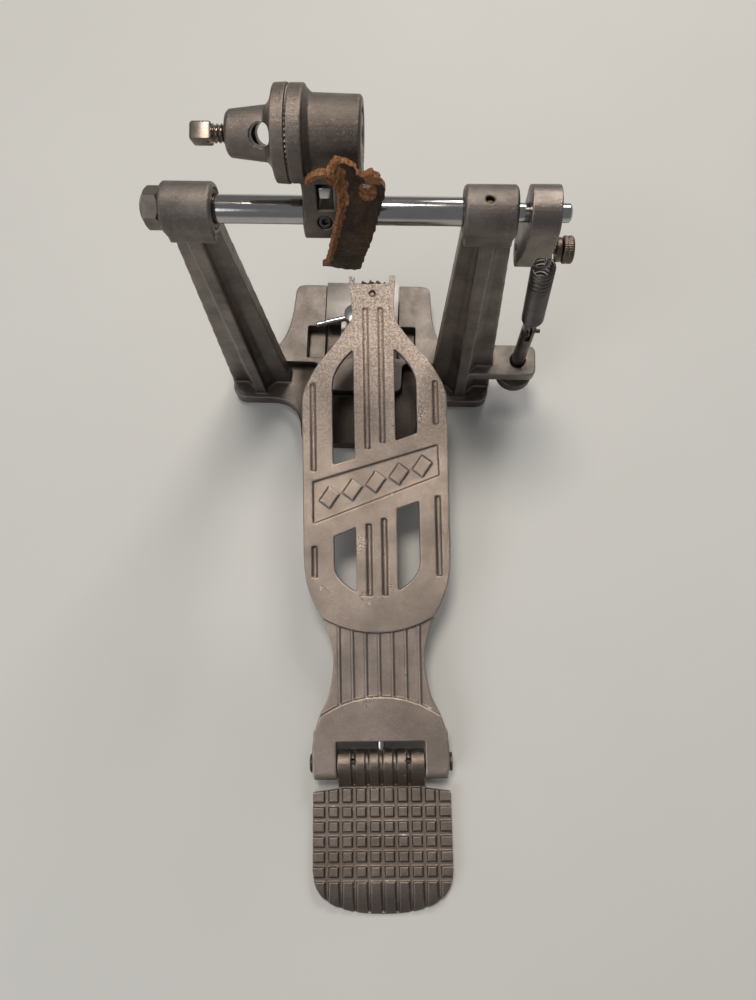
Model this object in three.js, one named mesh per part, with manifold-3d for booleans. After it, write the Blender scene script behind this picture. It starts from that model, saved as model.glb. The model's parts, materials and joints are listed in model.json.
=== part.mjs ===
// Bass drum pedal with a strap drive, built as a three.js scene graph of separate solids.
// Millimetres, +Z up, +Y towards the drum, +X to the player's right. The origin is on the floor
// straight below the middle of the shaft.

import * as THREE from "three";
import { mergeVertices } from "three/addons/utils/BufferGeometryUtils.js";
import Module from "manifold-3d";

const wasm = await Module();
wasm.setup();

// ---------- driving dimensions ----------

const GAP = 0.3; // between pieces that touch on the real pedal
const DEGREE = Math.PI / 180;

const SHAFT_HEIGHT = 155;
const SHAFT_RADIUS = 4.7625; // 3/8 inch
const JOURNAL_RADIUS = 3.175; // 1/4 inch
const SHAFT_LEFT_END = -57;
const JOURNAL_START = 56.7;
const SHAFT_RIGHT_END = 78.4;

const BEARING_INNER = 42.1;
const BEARING_OUTER = 60.3;
const BEARING_RADIUS = 8.8;
const BUSHING_RADIUS = 6.6;

const BASE_HALF_WIDTH = 66.3;
const BASE_FRONT = -12.3; // the edge on the player's side
const BEAM_TOP = 8;
const DECK_TOP = 15; // the raised part that carries the hoop
const LOBE_END = 49;
const SLOT_HALF_WIDTH = 19.2;
const POCKET_FLOOR = 4.5;

const CLAMP_X = -3;
const CLAMP_SCREW_Y = 26;
const JAW_PIN_Y = 33;
const JAW_PIN_HEIGHT = 11.5;
const JAW_TOP = 17;
const CLAMP_BAR_HEIGHT = 26;

const TENSION_X = 78;
const LUG_BOTTOM = 28;
const LUG_TOP = 34;
const LUG_END = 86.6;
const HOOK_PIN_HEIGHT = 66;
const CRANK_ARM = 22.5;
const SPRING_BOTTOM = 78;
const SPRING_TOP = 122;
const SPRING_RADIUS = 4.85;

const HUB_LEAN = 20 * DEGREE; // the clutch barrel leans from the vertical towards the drum
const BARREL_OFFSET = 27.3; // from the shaft's axis to the barrel's
const BARREL_RADIUS = 14.3;
const CLUTCH_JOINT = -13.5;
const BEATER_RADIUS = 3.57; // 9/32 inch
const BEATER_HOLE_X = -21.6;
const BEATER_TILT = 41 * DEGREE; // from the vertical towards the player

const PIVOT_X = 8.9; // the radius rod's swivel in the base
const PIVOT_Y = -20;
const HEEL_YAW = 2.7 * DEGREE; // the heel assembly rests a little off the middle of its swing
const HINGE_Y = -171; // the footboard's hinge, in the heel's own frame
const HINGE_HEIGHT = 8.5;
const HINGE_PIN_RADIUS = 3;
const BOARD_TILT = 9.2 * DEGREE;
const BOARD_TOP = 5.5; // above the hinge's axis
const BOARD_PLATE = 3.8;
const BOARD_HALF_WIDTH = 34.4;
const BARREL_HALF_LENGTH = 20;
const CLEVIS_HALF_GAP = 20.4;
const CLEVIS_HALF_WIDTH = 31.5;

// ---------- finishes ----------

const castAluminium = new THREE.MeshStandardMaterial({ color: 0x8d8782, roughness: 0.5, metalness: 0.85 });
const polishedSteel = new THREE.MeshStandardMaterial({ color: 0xb9b6b0, roughness: 0.18, metalness: 1 });
const darkSteel = new THREE.MeshStandardMaterial({ color: 0x57514b, roughness: 0.45, metalness: 0.9 });
const bronze = new THREE.MeshStandardMaterial({ color: 0x7a6241, roughness: 0.45, metalness: 0.9 });
const leather = new THREE.MeshStandardMaterial({ color: 0x3a2418, roughness: 0.85, metalness: 0 });

// ---------- building blocks ----------

// A closed three.js geometry as a manifold solid with its faces pointing out.
function solid(geometry) {
  const bare = geometry.clone();
  bare.deleteAttribute("normal");
  bare.deleteAttribute("uv");
  const merged = mergeVertices(bare, 1e-4);
  const triVerts = new Uint32Array(merged.index.array);
  const vertProperties = merged.attributes.position.array;
  const made = new wasm.Manifold(new wasm.Mesh({ numProp: 3, vertProperties, triVerts }));
  if (made.volume() > 0) return made;
  for (let i = 0; i < triVerts.length; i += 3) {
    [triVerts[i + 1], triVerts[i + 2]] = [triVerts[i + 2], triVerts[i + 1]];
  }
  return new wasm.Manifold(new wasm.Mesh({ numProp: 3, vertProperties, triVerts }));
}

function joined(...solids) {
  return solids.reduce((whole, next) => whole.add(next));
}

function cut(body, ...tools) {
  return tools.reduce((rest, tool) => rest.subtract(tool), body);
}

function block(x0, x1, y0, y1, z0, z1) {
  const box = new THREE.BoxGeometry(x1 - x0, y1 - y0, z1 - z0);
  return solid(box.translate((x0 + x1) / 2, (y0 + y1) / 2, (z0 + z1) / 2));
}

function rodX(x0, x1, radius, y = 0, z = 0, segments = 32) {
  const bar = new THREE.CylinderGeometry(radius, radius, x1 - x0, segments);
  return solid(bar.rotateZ(Math.PI / 2).translate((x0 + x1) / 2, y, z));
}

function rodY(y0, y1, radius, x = 0, z = 0, segments = 24) {
  const bar = new THREE.CylinderGeometry(radius, radius, y1 - y0, segments);
  return solid(bar.translate(x, (y0 + y1) / 2, z));
}

function rodZ(z0, z1, radius, x = 0, y = 0, segments = 32) {
  const bar = new THREE.CylinderGeometry(radius, radius, z1 - z0, segments);
  return solid(bar.rotateX(Math.PI / 2).translate(x, y, (z0 + z1) / 2));
}

// A rod in the plane across the shaft, from one distance to another along a direction that is
// tilted from the vertical towards the player.
function radialRod(from, to, radius, tilt, x = 0, segments = 24) {
  const bar = new THREE.CylinderGeometry(radius, radius, to - from, segments);
  return solid(bar.translate(0, (from + to) / 2, 0).rotateX(Math.PI / 2 + tilt).translate(x, 0, 0));
}

// A turned piece along X: the profile lists [x, radius] pairs, and the ends are closed.
function turnedX(profile, y = 0, z = 0, segments = 40) {
  const points = profile.map(([x, radius]) => new THREE.Vector2(radius, x));
  points.unshift(new THREE.Vector2(0, profile[0][0]));
  points.push(new THREE.Vector2(0, profile.at(-1)[0]));
  return solid(new THREE.LatheGeometry(points, segments).rotateZ(-Math.PI / 2).translate(0, y, z));
}

function ring(radius, wire, x, y, z) {
  const torus = new THREE.TorusGeometry(radius, wire, 8, 24);
  return solid(torus.rotateY(Math.PI / 2).translate(x, y, z));
}

function hexX(x0, x1, acrossFlats, y = 0, z = 0) {
  return rodX(x0, x1, acrossFlats / Math.sqrt(3), y, z, 6);
}

// Extrusions: of a plan in X and Y up Z, of a side view in Y and Z along X, and of a front view
// in X and Z along Y.
function plateZ(shape, z0, z1, curveSegments = 8) {
  const depth = z1 - z0;
  const plate = new THREE.ExtrudeGeometry(shape, { depth, bevelEnabled: false, curveSegments });
  return solid(plate.translate(0, 0, z0));
}

function plateX(shape, x0, x1, curveSegments = 8) {
  const depth = x1 - x0;
  const plate = new THREE.ExtrudeGeometry(shape, { depth, bevelEnabled: false, curveSegments });
  const turn = new THREE.Matrix4().makeBasis(
    new THREE.Vector3(0, 1, 0),
    new THREE.Vector3(0, 0, 1),
    new THREE.Vector3(1, 0, 0),
  );
  return solid(plate.applyMatrix4(turn).translate(x0, 0, 0));
}

function plateY(shape, y0, y1) {
  const depth = y1 - y0;
  const plate = new THREE.ExtrudeGeometry(shape, { depth, bevelEnabled: false });
  return solid(plate.rotateX(Math.PI / 2).translate(0, y1, 0));
}

function polygon(...points) {
  return new THREE.Shape(points.map(([x, y]) => new THREE.Vector2(x, y)));
}

// A closed outline from its right half, which runs from the axis of symmetry back to it.
function mirrored(halfPath, divisions = 6) {
  const right = halfPath.getPoints(divisions);
  const left = right
    .filter((point) => Math.abs(point.x) > 1e-6)
    .map((point) => new THREE.Vector2(-point.x, point.y))
    .reverse();
  return new THREE.Shape([...right, ...left]);
}

function mirrorX(body) {
  return body.mirror([1, 0, 0]);
}

function piece(name, body, finish) {
  const made = body.getMesh();
  const geometry = new THREE.BufferGeometry();
  geometry.setAttribute("position", new THREE.BufferAttribute(made.vertProperties, 3));
  geometry.setIndex(new THREE.BufferAttribute(made.triVerts, 1));
  geometry.computeVertexNormals();
  const mesh = new THREE.Mesh(geometry, finish.clone());
  mesh.name = name;
  return mesh;
}

// ---------- the frame casting ----------

function basePlate() {
  const path = new THREE.Path();
  path.moveTo(0, -36.5);
  path.lineTo(24, -36.5);
  path.quadraticCurveTo(29.5, -36.5, 29.5, -30);
  path.quadraticCurveTo(30.5, BASE_FRONT, 46, BASE_FRONT);
  path.lineTo(BASE_HALF_WIDTH - 7.5, BASE_FRONT);
  path.quadraticCurveTo(BASE_HALF_WIDTH, BASE_FRONT, BASE_HALF_WIDTH, BASE_FRONT + 7.5);
  path.lineTo(BASE_HALF_WIDTH, 8);
  path.quadraticCurveTo(BASE_HALF_WIDTH, 13, BASE_HALF_WIDTH - 5, 13);
  path.lineTo(46, 13);
  path.quadraticCurveTo(37.5, 20, 36.2, 34);
  path.lineTo(35.4, LOBE_END - 4.5);
  path.quadraticCurveTo(35.2, LOBE_END, 30.7, LOBE_END);
  path.lineTo(0, LOBE_END);
  return plateZ(mirrored(path), 0, BEAM_TOP);
}

function deck() {
  const path = new THREE.Path();
  path.moveTo(0, -10);
  path.lineTo(18, -10);
  path.quadraticCurveTo(21.5, -10, 21.5, -6.5);
  path.lineTo(21.5, 2);
  path.quadraticCurveTo(21.5, 5.2, 24.5, 5.2);
  path.lineTo(43, 5.2);
  path.lineTo(43, 14);
  path.quadraticCurveTo(37.5, 21, 36.2, 34);
  path.lineTo(35.4, LOBE_END - 4.5);
  path.quadraticCurveTo(35.2, LOBE_END, 30.7, LOBE_END);
  path.lineTo(0, LOBE_END);
  return plateZ(mirrored(path), BEAM_TOP - 1, DECK_TOP);
}

function rightPost() {
  const top = SHAFT_HEIGHT - 5;
  const flange = plateY(polygon([36.3, 5], [66.8, 5], [59.8, top], [42.7, top]), -3, 3);
  const rib = plateX(polygon([-9.5, 5], [9.5, 5], [7.6, top], [-7.6, top]), 48.7, 54);
  const skirt = polygon([-8.6, SHAFT_HEIGHT], [-7.8, 146], [7.8, 146], [8.6, SHAFT_HEIGHT]);
  const collar = plateX(skirt, 43, 59.4);
  const housing = turnedX(
    [
      [BEARING_INNER, BEARING_RADIUS - 0.9],
      [BEARING_INNER + 0.9, BEARING_RADIUS],
      [BEARING_OUTER - 0.9, BEARING_RADIUS],
      [BEARING_OUTER, BEARING_RADIUS - 0.9],
    ],
    0,
    SHAFT_HEIGHT,
  );
  return joined(flange, rib, collar, housing);
}

function tensionLug() {
  const path = new THREE.Shape();
  path.moveTo(54, -8);
  path.lineTo(LUG_END - 4, -8);
  path.quadraticCurveTo(LUG_END, -8, LUG_END, -4);
  path.lineTo(LUG_END, 4);
  path.quadraticCurveTo(LUG_END, 7.8, LUG_END - 4, 7.8);
  path.lineTo(54, 7.8);
  const hole = rodZ(LUG_BOTTOM - 1, LUG_TOP + 1, JOURNAL_RADIUS + 0.4, TENSION_X, 0);
  return cut(plateZ(path, LUG_BOTTOM, LUG_TOP), hole);
}

// The recess in the base's tongue that the radius rod's eye and shank swing in.
function rodRecess() {
  const floor = HINGE_HEIGHT - 2.8;
  const fan = polygon(
    [PIVOT_X - 4, PIVOT_Y],
    [PIVOT_X - 5.5, -40],
    [PIVOT_X + 6.5, -40],
    [PIVOT_X + 4, PIVOT_Y],
  );
  return joined(
    rodZ(floor, BEAM_TOP + 1, 6.4, PIVOT_X, PIVOT_Y),
    plateZ(fan, floor, BEAM_TOP + 1),
    rodZ(-1, floor + 1, 2.3, PIVOT_X, PIVOT_Y, 24),
  );
}

function clampPocket() {
  return joined(
    block(-28, 28, 8, 25.5, BEAM_TOP - 1, DECK_TOP + 1),
    block(-SLOT_HALF_WIDTH, SLOT_HALF_WIDTH, 8, LOBE_END + 5, POCKET_FLOOR, DECK_TOP + 1),
    block(-SLOT_HALF_WIDTH, SLOT_HALF_WIDTH, 37.5, LOBE_END + 5, -1, DECK_TOP + 1),
    rodX(-24.5, 24.5, 1.8, JAW_PIN_Y, JAW_PIN_HEIGHT, 24),
    rodZ(1, POCKET_FLOOR + 1, 3.4, CLAMP_X, CLAMP_SCREW_Y),
  );
}

function frameCasting() {
  const right = rightPost();
  const body = joined(basePlate(), deck(), right, mirrorX(right), tensionLug());
  const bore = BUSHING_RADIUS + GAP;
  return cut(
    body,
    rodX(BEARING_INNER - 1, BEARING_OUTER + 1, bore, 0, SHAFT_HEIGHT),
    rodX(-58, -BEARING_INNER + 1, bore, 0, SHAFT_HEIGHT),
    rodX(-BEARING_OUTER - 1, -56, 4.5, 0, SHAFT_HEIGHT),
    rodZ(SHAFT_HEIGHT, SHAFT_HEIGHT + 12, 1.45, 50.4, -1, 16),
    rodRecess(),
    clampPocket(),
  );
}

// ---------- bearings and shaft, about the shaft's axis ----------

function leftBushing() {
  return cut(rodX(-57.7, -42.4, BUSHING_RADIUS), rodX(-60, -40, SHAFT_RADIUS + GAP));
}

function rightBushing() {
  const journalBore = rodX(55, 63, JOURNAL_RADIUS + GAP);
  return cut(rodX(42.4, 60, BUSHING_RADIUS), rodX(40, 57, SHAFT_RADIUS + GAP), journalBore);
}

function leftBearingScrew() {
  return turnedX([[-67.9, 2.2], [-67.6, 3.8], [-66.9, 4.9], [-66.4, 5.2], [-66.4, 4.2], [-58.3, 4.2]]);
}

function leftLockNut() {
  return cut(hexX(-66.1, -60.6, 12.6), rodX(-70, -60, 4.5));
}

function shaft() {
  return turnedX([
    [SHAFT_LEFT_END, SHAFT_RADIUS - 0.6],
    [SHAFT_LEFT_END + 0.6, SHAFT_RADIUS],
    [JOURNAL_START, SHAFT_RADIUS],
    [JOURNAL_START, JOURNAL_RADIUS],
    [SHAFT_RIGHT_END - 0.5, JOURNAL_RADIUS],
    [SHAFT_RIGHT_END, JOURNAL_RADIUS - 0.5],
  ]);
}

// ---------- the beater hub, in its leaning frame: origin on the shaft, +Z to the barrel ----------

const STRAP_SCREW_OFFSET = 11.4;
const STRAP_SCREW_Y = -4.2; // nearer the player, so that a spanner reaches it
const HUB_SCREW_TILT = 80 * DEGREE;

function beaterHub() {
  const boss = rodX(-11.2, 11.4, 9.1);
  const neck = plateX(polygon([-8.8, 2], [8.8, 2], [9.8, 24], [-9.8, 24]), -10.5, 8.4);
  const barrel = turnedX(
    [
      [CLUTCH_JOINT + GAP, BARREL_RADIUS],
      [-8.7, BARREL_RADIUS],
      [-8.2, 13.3],
      [-6.6, 11.7],
      [8.3, 11.3],
      [9, 10.6],
    ],
    0,
    BARREL_OFFSET,
    48,
  );
  return cut(
    joined(boss, neck, barrel),
    rodX(-20, 20, SHAFT_RADIUS + GAP),
    rodX(-20, 20, 4.3, 0, BARREL_OFFSET),
    rodX(6.6, 20, 8, 0, BARREL_OFFSET),
    block(-5.9, -0.5, -15, 15, 6.4, 16.2),
    rodX(-15, 15, 1.8, STRAP_SCREW_Y, STRAP_SCREW_OFFSET, 20),
    rodX(5.4, 15, 3.6, STRAP_SCREW_Y, STRAP_SCREW_OFFSET, 24),
    radialRod(0, 14, 2.5, HUB_SCREW_TILT, -3.8),
  );
}

function hubSetScrew() {
  const socket = radialRod(7, 12, 1.2, HUB_SCREW_TILT, -3.8, 6);
  return cut(radialRod(SHAFT_RADIUS + 0.2, 8.6, 2.2, HUB_SCREW_TILT, -3.8), socket);
}

function strapScrew() {
  const profile = [[-10.3, 1.5], [5.7, 1.5], [5.7, 3.2], [8, 3.2]];
  return turnedX(profile, STRAP_SCREW_Y, STRAP_SCREW_OFFSET, 24);
}

function strapNut() {
  const bore = rodX(-10, 4, 1.8, STRAP_SCREW_Y, STRAP_SCREW_OFFSET, 20);
  return cut(hexX(-5.5, -0.9, 6.4, STRAP_SCREW_Y, STRAP_SCREW_OFFSET), bore);
}

// What is left of the torn strap: it bends over the boss and hangs in front of the shaft.
function leatherStrap() {
  const outer = new THREE.CatmullRomCurve3(
    [
      [-7.6, 26],
      [-11.4, 21],
      [-14.6, 12],
      [-15.4, 3],
      [-14.4, -6],
      [-12.2, -14.5],
    ].map(([y, z]) => new THREE.Vector3(0, y, z)),
  );
  const steps = 12;
  const half = 1.5; // of the leather's thickness
  const middle = outer.getPoints(steps);
  const offset = (side) =>
    middle.map((point, index) => {
      const tangent = outer.getTangent(index / steps);
      return new THREE.Vector2(point.y - side * half * tangent.z, point.z + side * half * tangent.y);
    });
  const section = new THREE.Shape([...offset(1), ...offset(-1).reverse()]);
  const trim = polygon([1, 40], [17.5, 40], [17.5, 2], [6.5, -30], [-7.5, -30], [-7.5, -8]);
  return plateX(section, -8, 18).intersect(plateY(trim, -40, 40));
}

function clutchBolt() {
  const profile = [[-17.2, 4], [6.9, 4], [6.9, 7], [8.3, 7], [8.9, 6.2]];
  const driveSocket = rodX(7.4, 12, 3, 0, BARREL_OFFSET, 6);
  return cut(turnedX(profile, 0, BARREL_OFFSET, 32), driveSocket);
}

function clutchCap() {
  const body = turnedX(
    [
      [-33.2, 6],
      [-32.2, 7],
      [-20.6, 8.3],
      [-19.2, 10.1],
      [-18.2, 12.9],
      [-17.8, BARREL_RADIUS],
      [CLUTCH_JOINT - 0.2, BARREL_RADIUS + 0.2],
    ],
    0,
    BARREL_OFFSET,
    48,
  );
  const beaterHole = radialRod(-15, 15, BEATER_RADIUS, BEATER_TILT + HUB_LEAN, BEATER_HOLE_X, 32);
  return cut(
    body,
    rodX(-17.6, -10, 4.3, 0, BARREL_OFFSET),
    beaterHole.translate([0, 0, BARREL_OFFSET]),
    rodX(-36, BEATER_HOLE_X, 3.3, 0, BARREL_OFFSET, 24),
  );
}

const HEAD_TURN = 38 * DEGREE; // of the square head, from the hub's own upright

function beaterScrew() {
  const thread = rodX(-38, -29.2, 2.9);
  const half = 2.9;
  const turn = [HEAD_TURN / DEGREE, 0, 0];
  const head = block(-44.7, -37.8, -half, half, -half, half).rotate(turn);
  return joined(thread, head).translate([0, 0, BARREL_OFFSET]);
}

// ---------- the spring crank on the shaft's right end, about the shaft's axis ----------

const CRANK_PLATE_FACE = 69.2;

function springCrank() {
  const arm = new THREE.Shape();
  arm.moveTo(-9, 0);
  arm.absarc(0, 0, 9, Math.PI, 0, true);
  arm.lineTo(8.4, -14);
  arm.absarc(0, -CRANK_ARM, 6.2, -0.2, Math.PI + 0.2, true);
  arm.lineTo(-8.4, -14);
  return cut(
    plateX(arm, 63, 74.2, 12),
    block(CRANK_PLATE_FACE, 80, -15, 15, -50, -15),
    plateY(polygon([60, 40], [64.2, 40], [64.2, -8], [62.9, -22], [60, -22]), -15, 15),
    rodX(60, 80, JOURNAL_RADIUS + GAP),
    rodX(60, 80, 2, 0, -CRANK_ARM, 24),
    rodY(0, 15, 2.3, 70, 0),
  );
}

function crankSetScrew() {
  return cut(rodY(JOURNAL_RADIUS + 0.2, 8.4, 2, 70, 0), rodY(6.4, 10, 1.1, 70, 0, 6));
}

function crankPinScrew() {
  return turnedX(
    [
      [63.6, 1.7],
      [69, 1.7],
      [69, 1.5],
      [79.6, 1.5],
      [79.6, 4.6],
      [80, 5],
      [83.3, 5],
      [83.8, 4.5],
    ],
    0,
    -CRANK_ARM,
    32,
  );
}

function retainerWasher() {
  return cut(rodX(77.4, 79.2, 4.4, 0, -CRANK_ARM), rodX(75, 82, 1.8, 0, -CRANK_ARM));
}

// ---------- the return spring and its tension rod ----------

const EYE_X = 75.2;
const EYE_RADIUS = 4.35;
const EYE_NECK_RADIUS = 2; // clear of the retainer washer as the crank swings
const WIRE_RADIUS = 0.75;

function springEye() {
  const pinHeight = SHAFT_HEIGHT - CRANK_ARM;
  const loop = ring(EYE_RADIUS, WIRE_RADIUS, EYE_X, 0, pinHeight - 2);
  return joined(loop, rodZ(SPRING_TOP + GAP, pinHeight - 5.8, EYE_NECK_RADIUS, EYE_X, 0, 20));
}

function springCoil() {
  const coil = rodZ(SPRING_BOTTOM, SPRING_TOP, SPRING_RADIUS, 0, 0, 28);
  const lean = Math.atan2(EYE_X - TENSION_X, SPRING_TOP - SPRING_BOTTOM);
  return coil
    .translate([0, 0, -SPRING_BOTTOM])
    .rotate([0, lean / DEGREE, 0])
    .translate([TENSION_X, 0, SPRING_BOTTOM])
    .intersect(block(60, 90, -10, 10, SPRING_BOTTOM, SPRING_TOP));
}

function springHook() {
  const loop = ring(2.35, 0.7, TENSION_X, 0, HOOK_PIN_HEIGHT + 0.4);
  const shank = rodZ(HOOK_PIN_HEIGHT + 2.4, SPRING_BOTTOM - 1.5, 0.7, TENSION_X, 0, 12);
  const endTurn = rodZ(SPRING_BOTTOM - 2, SPRING_BOTTOM - GAP, 3.4, TENSION_X, 0, 20);
  return joined(loop, shank, endTurn);
}

function tensionRod() {
  const body = joined(
    rodZ(30, HOOK_PIN_HEIGHT + 3.6, JOURNAL_RADIUS, TENSION_X, 0),
    rodZ(13, 31, 2.9, TENSION_X, 0, 24),
  );
  return cut(
    body,
    block(TENSION_X - 1.1, TENSION_X + 1.1, -5, 5, HOOK_PIN_HEIGHT - 4.5, HOOK_PIN_HEIGHT + 5),
    rodX(TENSION_X - 5, TENSION_X + 5, 1.2, 0, HOOK_PIN_HEIGHT, 16),
  );
}

function rodCrossPin() {
  return rodX(TENSION_X - 3, TENSION_X + 5.2, 0.9, 0, HOOK_PIN_HEIGHT, 16);
}

function tensionNut() {
  const hub = rodZ(21, LUG_BOTTOM - GAP, 6.4, TENSION_X, 0);
  const wheel = rodZ(16, 22, 9.25, TENSION_X, 0, 36);
  return cut(joined(hub, wheel), rodZ(10, 32, 3.2, TENSION_X, 0, 24));
}

// ---------- the hoop clamp ----------

function clampJaw() {
  const bottom = JAW_TOP - 4.8;
  const front = block(-18.7, 18.7, 27.5, 49.4, bottom, JAW_TOP);
  const rear = block(CLAMP_X - 7.5, CLAMP_X + 7.5, 19.5, 28, bottom, JAW_TOP);
  const lip = block(-18.7, 18.7, 46.4, 49.4, 9.5, bottom + 1);
  const barrel = rodX(-18.7, 18.7, 3.2, JAW_PIN_Y, JAW_PIN_HEIGHT);
  const screwSlot = joined(
    rodZ(5, 20, 3.5, CLAMP_X, CLAMP_SCREW_Y - 2),
    rodZ(5, 20, 3.5, CLAMP_X, CLAMP_SCREW_Y + 1),
    block(CLAMP_X - 3.5, CLAMP_X + 3.5, CLAMP_SCREW_Y - 2, CLAMP_SCREW_Y + 1, 5, 20),
  );
  const pinBore = rodX(-30, 30, 1.8, JAW_PIN_Y, JAW_PIN_HEIGHT, 24);
  return cut(joined(front, rear, lip, barrel), screwSlot, pinBore);
}

function jawPin() {
  return rodX(-24.2, 24.2, 1.5, JAW_PIN_Y, JAW_PIN_HEIGHT, 20);
}

function clampScrew() {
  const shank = rodZ(1.3, JAW_TOP + 6, 2.9, 0, 0, 24);
  const head = rodZ(JAW_TOP + 5, CLAMP_BAR_HEIGHT + 3.2, 5.2, 0, 0);
  return cut(joined(shank, head), rodX(-8, 8, 1.8, 0, CLAMP_BAR_HEIGHT, 20));
}

function clampBar() {
  return turnedX([[-20.4, 1.1], [-20, 1.5], [20, 1.5], [20.4, 1.1]], 0, CLAMP_BAR_HEIGHT, 20);
}

// ---------- radius rod and heel plate, in the heel's frame: origin under the swivel ----------

const ROD_RADIUS = 2;
const WAFFLE_PITCH = 6.4;
const BARREL_FOOT_Y = -10.6; // where the barrel's sloping face meets the tread
const PLATE_TOP = 6;

function radiusRod() {
  const eye = rodZ(HINGE_HEIGHT - 2.5, HINGE_HEIGHT + 2.5, 5.2);
  const shank = rodY(HINGE_Y + 4.9, -3, ROD_RADIUS, 0, HINGE_HEIGHT, 20);
  return cut(joined(eye, shank), rodZ(0, 20, 2.3, 0, 0, 24));
}

function swivelScrew() {
  const shank = rodZ(1, HINGE_HEIGHT + 4, 2, 0, 0, 24);
  const head = rodZ(HINGE_HEIGHT + 2.8, HINGE_HEIGHT + 5.2, 4.2);
  return cut(joined(shank, head), block(-0.5, 0.5, -6, 6, HINGE_HEIGHT + 4.2, HINGE_HEIGHT + 6));
}

function heelOutline() {
  const path = new THREE.Path();
  path.moveTo(0, -66.3);
  path.bezierCurveTo(17, -66.3, 32, -62, 32, -47);
  path.lineTo(32, -13.6);
  path.lineTo(20.4, -12.2);
  path.lineTo(BARREL_HALF_LENGTH, BARREL_FOOT_Y);
  path.lineTo(BARREL_HALF_LENGTH, 0);
  path.lineTo(0, 0);
  return mirrored(path, 10);
}

// The heel plate's side view: level on top, and rounded down to the floor behind the heel.
function heelSide() {
  const side = new THREE.Shape();
  side.moveTo(1, 0);
  side.lineTo(-66.2, 0);
  side.lineTo(-66.3, 1);
  side.bezierCurveTo(-62, 3.6, -57, PLATE_TOP, -48, PLATE_TOP);
  side.lineTo(BARREL_FOOT_Y, PLATE_TOP);
  side.lineTo(-4.6, HINGE_HEIGHT + 4.1);
  side.lineTo(1, HINGE_HEIGHT + 4.1);
  return side;
}

// A groove's side view where it runs up the barrel's sloping face and over its top.
function barrelGrooveSide() {
  return polygon(
    [-10.1, PLATE_TOP - 0.5],
    [-4.1, HINGE_HEIGHT + 3.7],
    [-2.7, HINGE_HEIGHT + 4.8],
    [0, HINGE_HEIGHT + 5.5],
    [2.7, HINGE_HEIGHT + 4.8],
    [4.2, HINGE_HEIGHT + 3.5],
    [7, HINGE_HEIGHT + 3.5],
    [7, 20],
    [-12, 20],
    [-12, PLATE_TOP - 0.5],
  );
}

function waffleGrooves() {
  const depth = 0.9;
  const half = 1;
  const tools = [block(-20.6, 20.6, BARREL_FOOT_Y - 1.2, BARREL_FOOT_Y, PLATE_TOP - depth, 20)];
  for (let column = -4; column <= 4; column++) {
    const x = column * WAFFLE_PITCH;
    tools.push(block(x - half, x + half, -70, BARREL_FOOT_Y, PLATE_TOP - depth, 20));
    if (Math.abs(column) <= 2) {
      tools.push(plateX(barrelGrooveSide(), x - half, x + half));
    }
  }
  for (let row = 1; row <= 6; row++) {
    const y = -12.4 - row * WAFFLE_PITCH;
    tools.push(block(-40, 40, y - half, y + half, PLATE_TOP - depth, 20));
  }
  return tools;
}

function heelPlate() {
  const plate = plateZ(heelOutline(), 0, 20, 10).intersect(plateX(heelSide(), -40, 40, 10));
  const barrel = rodX(-BARREL_HALF_LENGTH, BARREL_HALF_LENGTH, 6.2, 0, HINGE_HEIGHT, 36);
  const rodSocket = rodY(-2, 8, ROD_RADIUS + GAP, 0, HINGE_HEIGHT, 20);
  const oilHoles = [-12.7, 12.7].map((x) => rodZ(HINGE_HEIGHT, 20, 1.3, x, 0.8, 16));
  const pinBore = rodX(-25, 25, HINGE_PIN_RADIUS + GAP, 0, HINGE_HEIGHT);
  return cut(joined(plate, barrel), ...waffleGrooves(), pinBore, rodSocket, ...oilHoles);
}

function hingePin() {
  const half = CLEVIS_HALF_WIDTH + GAP;
  return turnedX(
    [
      [-half - 1.1, 3.7],
      [-half - 0.7, 4.2],
      [-half, 4.2],
      [-half, HINGE_PIN_RADIUS],
      [half - 0.3, HINGE_PIN_RADIUS],
      [half - 0.3, 2],
      [half + 1, 2],
    ],
    0,
    HINGE_HEIGHT,
    28,
  );
}

function hingePinNut() {
  const face = CLEVIS_HALF_WIDTH + GAP;
  const bore = rodX(face - 1, face + 3, 2.3, 0, HINGE_HEIGHT, 24);
  return cut(rodX(face, face + 1.1, 4.2, 0, HINGE_HEIGHT, 28), bore);
}

// ---------- the footboard, in its own frame: origin on the hinge's axis, +Y along the board ----------

const TOE_EDGE = 225.8;
const PRONG_END = 229.8;
const PANEL_FOOT_RADIUS = 50.2;
const PANEL_FOOT = 59.9;
const PAD_RADIUS = 48.1;
const PAD_HEAD = 30.8;
const RIB_PITCH = 6.2;
const TOE_SCREW_Y = 221;

// The right half of the board's outline, drawn in by an inset for the rim's inner face.
function boardPath(inset = 0) {
  const path = new THREE.Path();
  const curve = (...points) => path.splineThru(points.map(([x, y]) => new THREE.Vector2(x - inset, y)));
  path.moveTo(0, 10.5 + inset);
  path.lineTo(CLEVIS_HALF_GAP, 10.5 + inset);
  if (inset === 0) {
    path.lineTo(CLEVIS_HALF_GAP, -3);
    path.lineTo(CLEVIS_HALF_WIDTH, -3);
  }
  path.lineTo(CLEVIS_HALF_WIDTH - inset, 8);
  curve([30.3, 15], [27.8, 22.5], [23.8, 31], [21.4, 44], [22, 54], [26.3, 67.5]);
  curve([30.6, 75.5], [33.6, 86], [BOARD_HALF_WIDTH, 98]);
  path.lineTo(BOARD_HALF_WIDTH - inset, 166);
  curve([33.6, 174], [27.9, 185.3], [16.8, 199], [10.8, 208], [9.9, 214]);
  if (inset === 0) {
    path.lineTo(11.2, PRONG_END);
    path.lineTo(8.4, PRONG_END);
    path.lineTo(8.2, TOE_EDGE);
  }
  path.lineTo(0, inset === 0 ? TOE_EDGE : 214);
  return path;
}

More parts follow.
